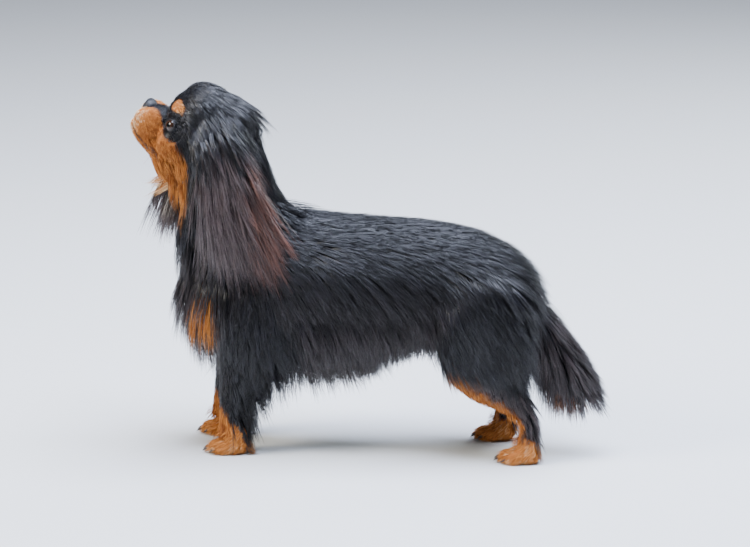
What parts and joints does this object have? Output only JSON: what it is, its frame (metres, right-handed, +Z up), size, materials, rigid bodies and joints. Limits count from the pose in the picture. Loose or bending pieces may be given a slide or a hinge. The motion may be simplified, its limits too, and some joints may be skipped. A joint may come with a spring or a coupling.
{
  "type": "cavalier king charles spaniel",
  "caption": "Life-size still model of a long-coated black and tan toy spaniel standing square with its head raised, wearing a thin cord collar.",
  "frame": {"origin": "middle of the bounding box, on the floor between the feet", "axes": "the nose points to -X and the tail to +X, the dog's left side faces -Y, +Z up; the four soles lie on Z = 0"},
  "size_m": [0.6251, 0.1667, 0.4803],
  "materials": {
    "coat_black": "silky long black hair with a blue-grey sheen",
    "coat_brown": "silky ear feathering, black at the root and brown at the ends",
    "coat_tan": "short bright tan hair",
    "eye": "dark brown wet eye",
    "nose_leather": "black pebbled moist nose leather",
    "collar_cord": "thin black braided cord",
    "collar_steel": "polished steel ring"
  },
  "bodies": {
    "root": {"head": "coat_black", "neck": "coat_black", "torso": "coat_black", "tail": "coat_black", "ear_left": "coat_brown", "ear_right": "coat_brown", "foreleg_left": "coat_black", "foreleg_right": "coat_black", "hindleg_left": "coat_black", "hindleg_right": "coat_black", "forepaw_left": "coat_tan", "forepaw_right": "coat_tan", "hindpaw_left": "coat_tan", "hindpaw_right": "coat_tan", "eye_left": "eye", "eye_right": "eye", "nose": "nose_leather", "collar": "collar_cord", "collar_ring": "collar_steel"}
  },
  "joints": []
}
